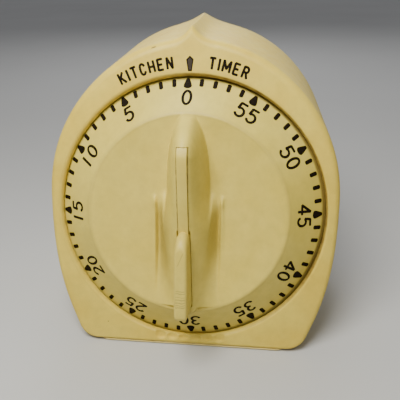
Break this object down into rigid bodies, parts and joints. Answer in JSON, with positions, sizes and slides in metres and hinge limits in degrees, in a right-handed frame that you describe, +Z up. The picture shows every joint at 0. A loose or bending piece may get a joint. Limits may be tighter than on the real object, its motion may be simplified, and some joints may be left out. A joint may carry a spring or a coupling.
{
  "type": "kitchen timer",
  "caption": "Wind-up kitchen timer: a leaning cream plastic case with a coned minute dial, a fin-shaped knob, and a spring movement with a bell inside.",
  "frame": {"origin": "middle of the base plate's flat underside, on the surface it stands on", "axes": "+Z up; the dial faces -Y and leans back by 13.5 degrees; +X to the right as one reads the dial"},
  "size_m": [0.0904, 0.0714, 0.0973],
  "materials": {
    "cream_plastic": "aged cream moulded plastic, soft gloss",
    "dial_plastic": "aged cream moulded plastic with printed black marks",
    "grip_plastic": "aged cream plastic, worn",
    "base_plastic": "paler cream plastic",
    "plate_brass": "rolled brass sheet",
    "wheel_brass": "turned and stamped brass",
    "steel": "turned steel",
    "spring_steel": "blued spring steel",
    "zinc_plate": "zinc plated steel",
    "bell_metal": "nickel plated steel"
  },
  "bodies": {
    "case": {"case_shell": "cream_plastic", "base_plate": "base_plastic", "back_cover": "cream_plastic", "back_cover_screw_1": "zinc_plate", "back_cover_screw_2": "zinc_plate", "back_cover_screw_3": "zinc_plate", "back_cover_screw_4": "zinc_plate", "movement_front_plate": "plate_brass", "movement_back_plate": "plate_brass", "pillar_1": "steel", "pillar_2": "steel", "pillar_3": "steel", "pillar_4": "steel", "pillar_nut_1": "zinc_plate", "pillar_nut_2": "zinc_plate", "pillar_nut_3": "zinc_plate", "pillar_nut_4": "zinc_plate", "movement_screw_1": "zinc_plate", "movement_screw_2": "zinc_plate", "movement_screw_3": "zinc_plate", "mainspring": "spring_steel", "mainspring_post": "steel", "hairspring": "spring_steel", "hairspring_stud": "wheel_brass", "bell": "bell_metal", "bell_post": "steel", "bell_screw": "zinc_plate", "dial_washer": "spring_steel", "hammer_spring": "spring_steel"},
    "dial": {"dial": "dial_plastic", "knob_grip": "grip_plastic", "dial_bush": "wheel_brass", "main_arbor": "steel", "main_wheel": "wheel_brass", "ratchet_wheel": "steel", "trip_cam": "steel", "click_rivet": "steel", "click_spring": "spring_steel"},
    "click": {"click": "steel"},
    "second": {"second_pinion": "steel", "second_wheel": "wheel_brass"},
    "third": {"third_pinion": "steel", "third_wheel": "wheel_brass"},
    "escape": {"escape_pinion": "steel", "escape_wheel": "wheel_brass"},
    "pallet": {"pallet_arbor": "steel", "pallet_lever": "wheel_brass"},
    "balance": {"balance_staff": "steel", "balance_wheel": "wheel_brass", "impulse_roller": "steel"},
    "hammer": {"hammer_arbor": "steel", "hammer_arm": "steel", "hammer_head": "wheel_brass", "trip_lever": "steel"}
  },
  "joints": [
    {"name": "dial_turn", "type": "hinge", "parent": "case", "child": "dial", "pos_m": [0, -0.01769, 0.04297], "axis": [0, 0.9724, -0.2334], "range_deg": [0, 355], "deforming": ["mainspring"]},
    {"name": "click_lift", "type": "hinge", "parent": "dial", "child": "click", "pos_m": [0.00625, -0.00369, 0.02847], "axis": [0, -0.9724, 0.2334], "range_deg": [0, 12], "stiffness_Nm_per_rad": 0.00001, "deforming": ["click_spring"]},
    {"name": "second_spin", "type": "hinge", "parent": "case", "child": "second", "pos_m": [-0.02366, -0.00068, 0.04101], "axis": [0, 0.9724, -0.2334], "range_deg": [-1425, 5]},
    {"name": "third_spin", "type": "hinge", "parent": "case", "child": "third", "pos_m": [-0.01637, 0.00286, 0.05573], "axis": [0, 0.9724, -0.2334], "range_deg": [-5, 4265]},
    {"name": "escape_spin", "type": "hinge", "parent": "case", "child": "escape", "pos_m": [-0.00342, 0.00433, 0.06185], "axis": [0, 0.9724, -0.2334], "range_deg": [-12785, 5]},
    {"name": "pallet_rock", "type": "hinge", "parent": "case", "child": "pallet", "pos_m": [0.00705, 0.00413, 0.06105], "axis": [0, 0.9724, -0.2334], "range_deg": [-5, 5]},
    {"name": "balance_swing", "type": "hinge", "parent": "case", "child": "balance", "pos_m": [0.01724, 0.00265, 0.05489], "axis": [0, 0.9724, -0.2334], "range_deg": [-140, 140], "stiffness_Nm_per_rad": 0.00002, "deforming": ["hairspring"]},
    {"name": "hammer_swing", "type": "hinge", "parent": "case", "child": "hammer", "pos_m": [0.02152, -0.0035, 0.02924], "axis": [0, -0.9724, 0.2334], "range_deg": [0, 10], "stiffness_Nm_per_rad": 0.001, "deforming": ["hammer_spring"]}
  ],
  "couplings": [
    {"joint": "second_spin", "follows": "dial_turn", "ratio": -4},
    {"joint": "third_spin", "follows": "dial_turn", "ratio": 12},
    {"joint": "escape_spin", "follows": "dial_turn", "ratio": -36}
  ]
}
